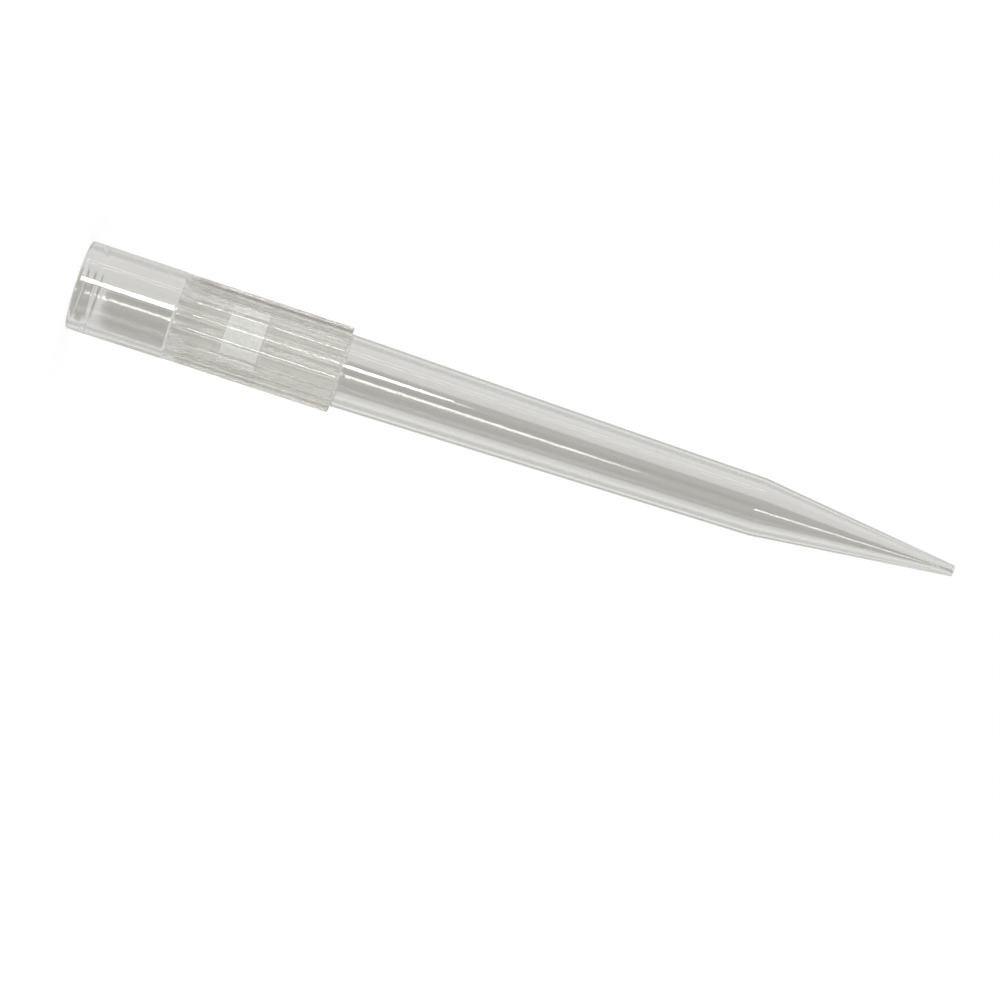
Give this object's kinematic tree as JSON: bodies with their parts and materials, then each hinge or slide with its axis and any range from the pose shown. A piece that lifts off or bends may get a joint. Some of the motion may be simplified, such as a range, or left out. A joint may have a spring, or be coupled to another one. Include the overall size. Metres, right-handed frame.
{
  "type": "pipette tip",
  "caption": "Clear ribbed filter pipette tip: socket collar, ribbed band with a flat shoulder, long tapering barrel, steep lower cone and a white porous plug inside.",
  "frame": {"origin": "middle of the mouth's rim, on the surface the tip stands on", "axes": "+Z along the tip's axis from the mouth to the point, -Y through the middle of a gap between two ribs; the tip stands on its mouth, point up"},
  "size_m": [0.0088, 0.0088, 0.09],
  "materials": {
    "clear_polypropylene": "clear, colourless to faintly grey, smooth moulded surface with a slight haze",
    "porous_polyethylene": "white, sintered, finely granular"
  },
  "bodies": {
    "root": {"tip_body": "clear_polypropylene", "filter_plug": "porous_polyethylene"}
  },
  "joints": []
}
